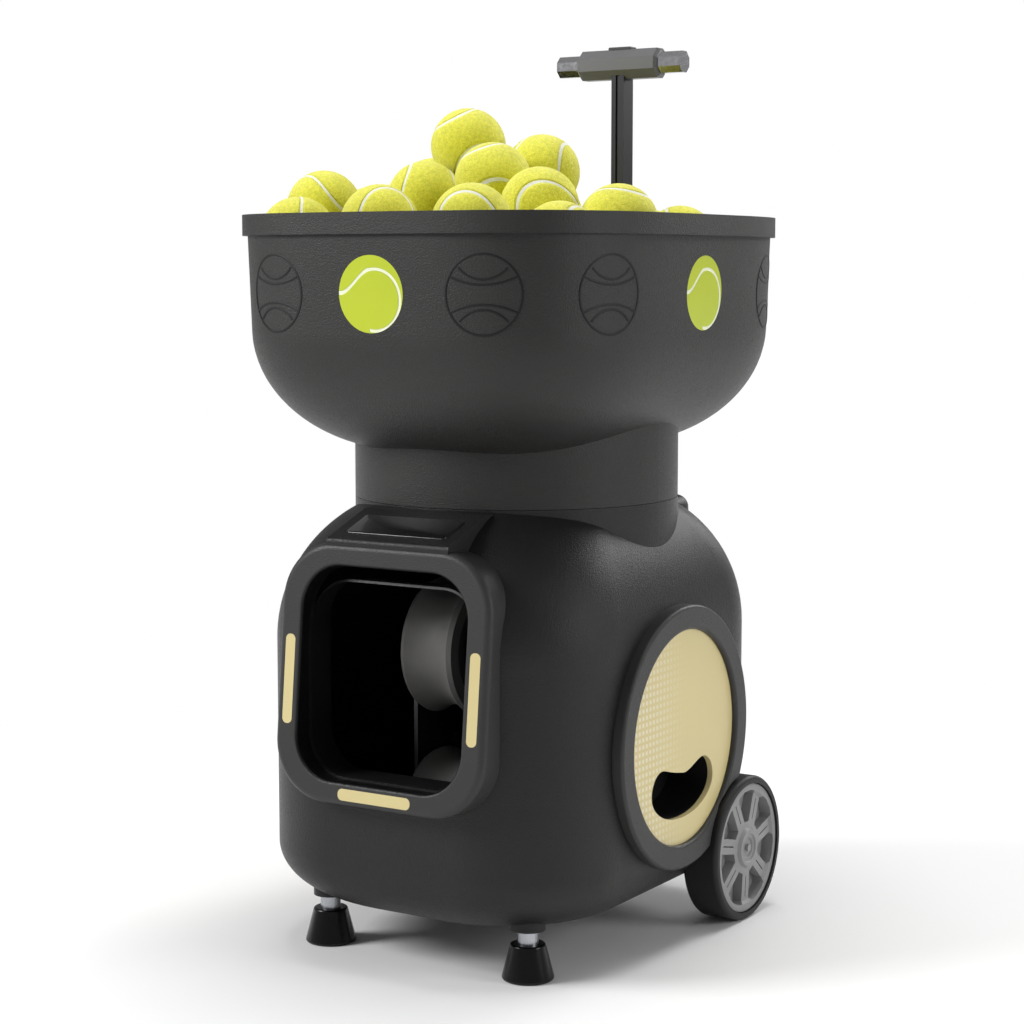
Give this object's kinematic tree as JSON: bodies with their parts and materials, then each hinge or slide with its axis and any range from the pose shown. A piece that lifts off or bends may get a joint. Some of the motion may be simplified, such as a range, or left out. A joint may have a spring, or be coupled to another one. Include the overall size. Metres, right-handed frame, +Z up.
{
  "type": "tennis ball machine",
  "caption": "Wheeled tennis ball machine: open ball hopper with balls, rounded body, tilting two-wheel throwing head behind a front opening, adjustable feet and pull-up mast.",
  "frame": {"origin": "on the ground under the middle of the hopper, which is the centre of the overall plan", "axes": "+Z up, the front with the ball opening faces -Y, +X to the right when looking along +Y"},
  "size_m": [0.391, 0.4624, 0.8116],
  "materials": {
    "body_plastic": "fine leather-grain texture",
    "bezel_plastic": "satin with fine grain",
    "cream_plastic": "satin cream-yellow",
    "panel_gloss": "polished black",
    "cup_plastic": "dark satin",
    "emblem_green": "satin yellow-green",
    "ball_felt": "brushed felt",
    "inner_plastic": "moulded, satin",
    "feeder_plastic": "moulded",
    "motor_metal": "black oxide",
    "steel": "drawn steel",
    "zinc_plate": "zinc-plated sheet",
    "tread_rubber": "moulded rubber",
    "hub_plastic": "black nylon",
    "wheel_grey": "satin grey",
    "tyre_rubber": "smooth rubber",
    "foot_rubber": "glossy black rubber",
    "mast_black": "anodised black",
    "sleeve_plastic": "satin dark grey",
    "chrome": "polished",
    "button_plastic": "satin",
    "battery_case": "shrink-wrapped",
    "board": "solder-masked board"
  },
  "bodies": {
    "body": {"base_pan": "body_plastic", "body_shell": "body_plastic", "rear_fairing": "body_plastic", "front_bezel": "bezel_plastic", "bezel_strips": "cream_plastic", "throat": "inner_plastic", "control_pod": "body_plastic", "control_panel": "panel_gloss", "side_rings": "bezel_plastic", "side_discs": "cream_plastic", "grip_cups": "cup_plastic", "feed_deck": "feeder_plastic", "drop_tube": "feeder_plastic", "feeder_motor": "motor_metal", "yaw_bearing": "steel", "yaw_gearmotor": "motor_metal", "switch_frame": "panel_gloss", "charge_socket": "panel_gloss", "battery_pack": "battery_case", "battery_tray": "inner_plastic", "control_board": "board", "axle_left": "steel", "axle_right": "steel", "axle_blocks": "inner_plastic", "foot_sockets": "inner_plastic", "mast_outer_tube": "mast_black", "pan_screws": "steel"},
    "hopper": {"hopper_shell": "body_plastic", "emblem_discs": "emblem_green", "hopper_funnel": "feeder_plastic", "tennis_balls": "ball_felt"},
    "feeder": {"carousel": "feeder_plastic", "carousel_shaft": "steel"},
    "swivel": {"turntable": "zinc_plate", "yoke_uprights": "zinc_plate", "tilt_pins": "steel"},
    "head": {"head_plate_left": "zinc_plate", "head_plate_right": "zinc_plate", "throw_motor_upper": "motor_metal", "throw_motor_lower": "motor_metal", "ball_chute": "inner_plastic"},
    "upper_wheel": {"throw_hub_upper": "hub_plastic", "throw_tread_upper": "tread_rubber", "throw_shaft_upper": "steel"},
    "lower_wheel": {"throw_hub_lower": "hub_plastic", "throw_tread_lower": "tread_rubber", "throw_shaft_lower": "steel"},
    "trolley_wheel_left": {"tyre_left": "tyre_rubber", "trolley_hub_left": "wheel_grey"},
    "trolley_wheel_right": {"tyre_right": "tyre_rubber", "trolley_hub_right": "wheel_grey"},
    "mast": {"mast_pole": "mast_black", "grip_sleeve": "sleeve_plastic", "grip_bar": "chrome"},
    "mast_release": {"release_button": "button_plastic"},
    "foot_left": {"foot_rod_left": "steel", "rubber_foot_left": "foot_rubber"},
    "foot_right": {"foot_rod_right": "steel", "rubber_foot_right": "foot_rubber"},
    "power_rocker": {"switch_rocker": "button_plastic"}
  },
  "joints": [
    {"name": "hopper_lift", "type": "slide", "parent": "body", "child": "hopper", "axis": [0, 0, 1], "range_m": [0, 0.03]},
    {"name": "feeder_turn", "type": "hinge", "parent": "body", "child": "feeder", "pos_m": [0, 0, 0.39], "axis": [0, 0, 1], "continuous": true},
    {"name": "head_swivel", "type": "hinge", "parent": "body", "child": "swivel", "pos_m": [0, 0.066, 0.055], "axis": [0, 0, 1], "range_deg": [-8, 8]},
    {"name": "head_tilt", "type": "hinge", "parent": "swivel", "child": "head", "pos_m": [0, 0.066, 0.192], "axis": [-1, 0, 0], "range_deg": [-2, 12]},
    {"name": "upper_wheel_spin", "type": "hinge", "parent": "head", "child": "upper_wheel", "pos_m": [0, -0.09, 0.2685], "axis": [1, 0, 0], "continuous": true},
    {"name": "lower_wheel_spin", "type": "hinge", "parent": "head", "child": "lower_wheel", "pos_m": [0, -0.09, 0.1155], "axis": [1, 0, 0], "continuous": true},
    {"name": "trolley_left_roll", "type": "hinge", "parent": "body", "child": "trolley_wheel_left", "pos_m": [-0.1665, 0.112, 0.067], "axis": [1, 0, 0], "continuous": true},
    {"name": "trolley_right_roll", "type": "hinge", "parent": "body", "child": "trolley_wheel_right", "pos_m": [0.1665, 0.112, 0.067], "axis": [1, 0, 0], "continuous": true},
    {"name": "mast_slide", "type": "slide", "parent": "body", "child": "mast", "axis": [0, 0, 1], "range_m": [-0.1, 0.2]},
    {"name": "mast_release_press", "type": "slide", "parent": "mast", "child": "mast_release", "axis": [0, 0, -1], "range_m": [0, 0.0024], "stiffness_N_per_m": 600},
    {"name": "foot_left_screw", "type": "slide", "parent": "body", "child": "foot_left", "axis": [0, 0, -1], "range_m": [-0.008, 0.012]},
    {"name": "foot_right_screw", "type": "slide", "parent": "body", "child": "foot_right", "axis": [0, 0, -1], "range_m": [-0.008, 0.012]},
    {"name": "power_rocker_tip", "type": "hinge", "parent": "body", "child": "power_rocker", "pos_m": [-0.062, 0.18, 0.13], "axis": [1, 0, 0], "range_deg": [-6, 6]}
  ]
}
